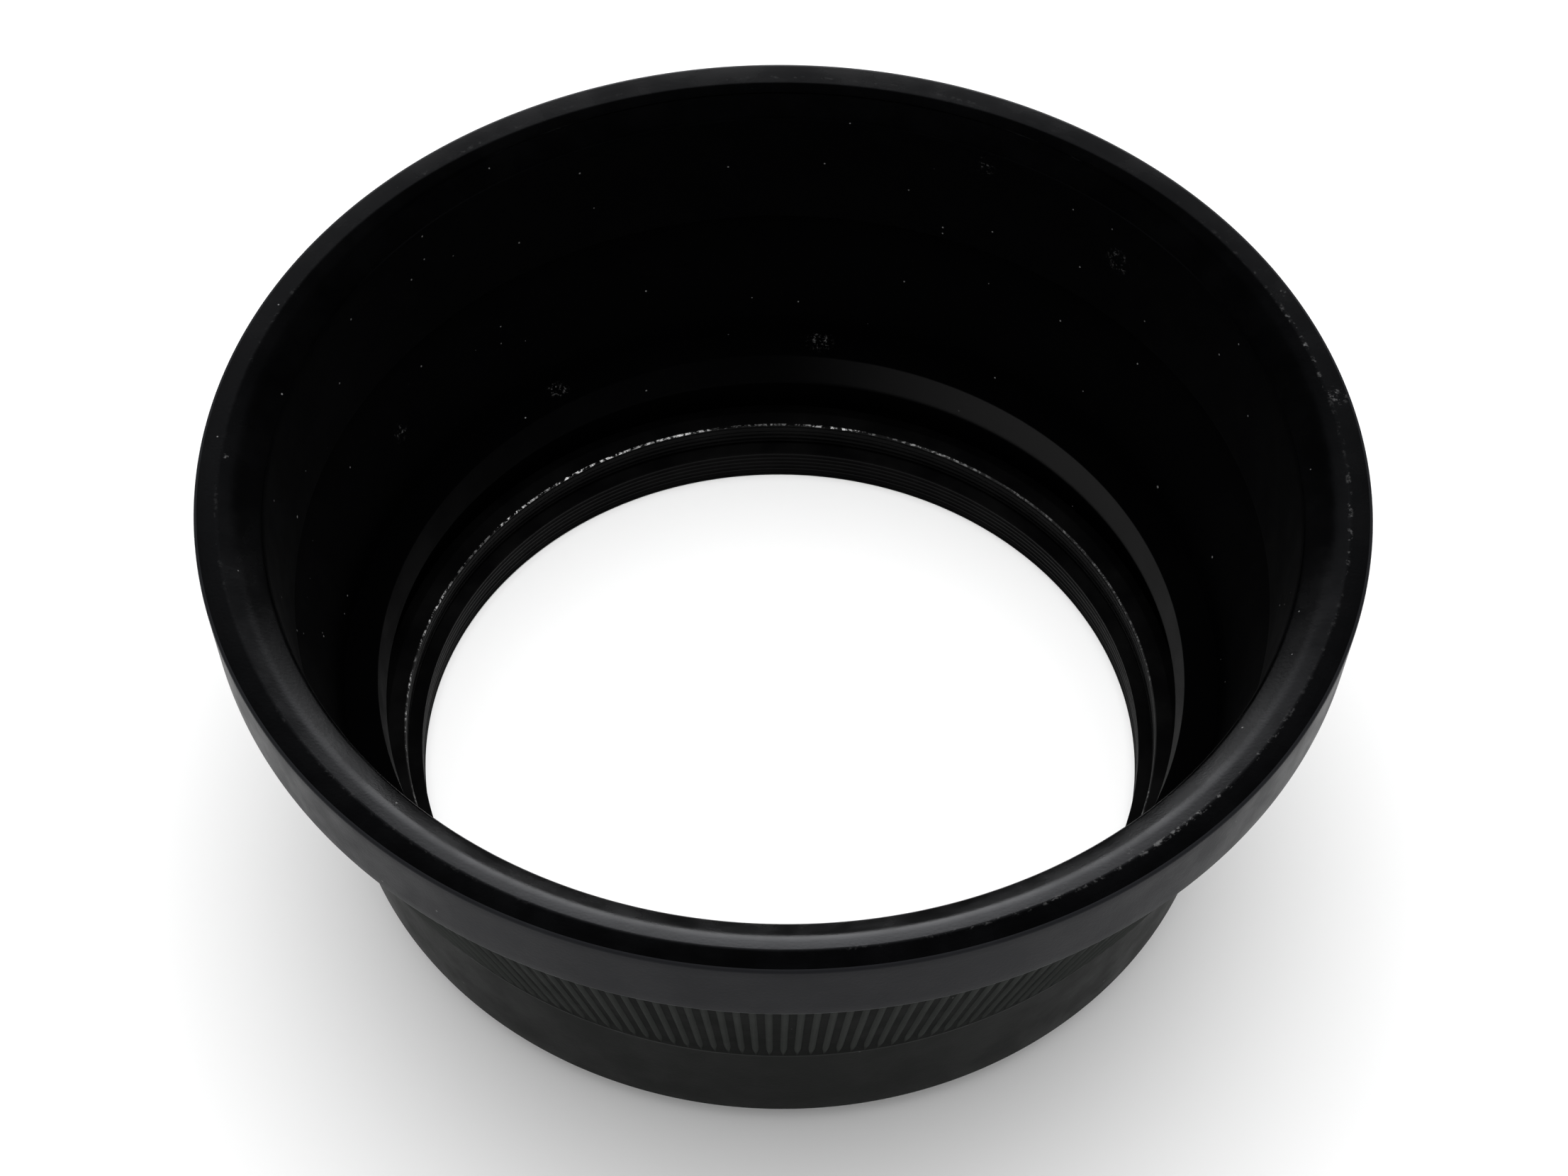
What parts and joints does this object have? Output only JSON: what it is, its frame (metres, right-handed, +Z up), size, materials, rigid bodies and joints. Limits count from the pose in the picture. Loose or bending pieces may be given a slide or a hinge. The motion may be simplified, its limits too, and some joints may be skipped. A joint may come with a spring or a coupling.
{
  "type": "collapsible rubber lens hood",
  "caption": "Round black rubber lens hood with a ribbed folding cone, a wide rolled lip and a screw-in aluminium mount ring.",
  "frame": {"origin": "on the optical axis at the end face of the thread, which is the lowest point", "axes": "+Z up the light path towards the open mouth; X and Y are alike, because the hood is round"},
  "size_m": [0.0776, 0.0776, 0.0329],
  "materials": {
    "front_rubber": "satin moulded black rubber, dusty",
    "web_rubber": "satin moulded black rubber, ribbed",
    "sleeve_rubber": "satin moulded black rubber",
    "mount_metal": "black anodised, turned grooves, worn edge",
    "retainer_metal": "black anodised, turned grooves, bright where worn"
  },
  "bodies": {
    "mount": {"mount_ring": "mount_metal", "retaining_ring": "retainer_metal", "base_sleeve": "sleeve_rubber", "ribbed_web": "web_rubber"},
    "front": {"front_section": "front_rubber"}
  },
  "joints": [
    {"name": "front_collapse", "type": "slide", "parent": "mount", "child": "front", "axis": [0, 0, -1], "range_m": [0, 0.0205], "deforming": ["ribbed_web"]}
  ]
}
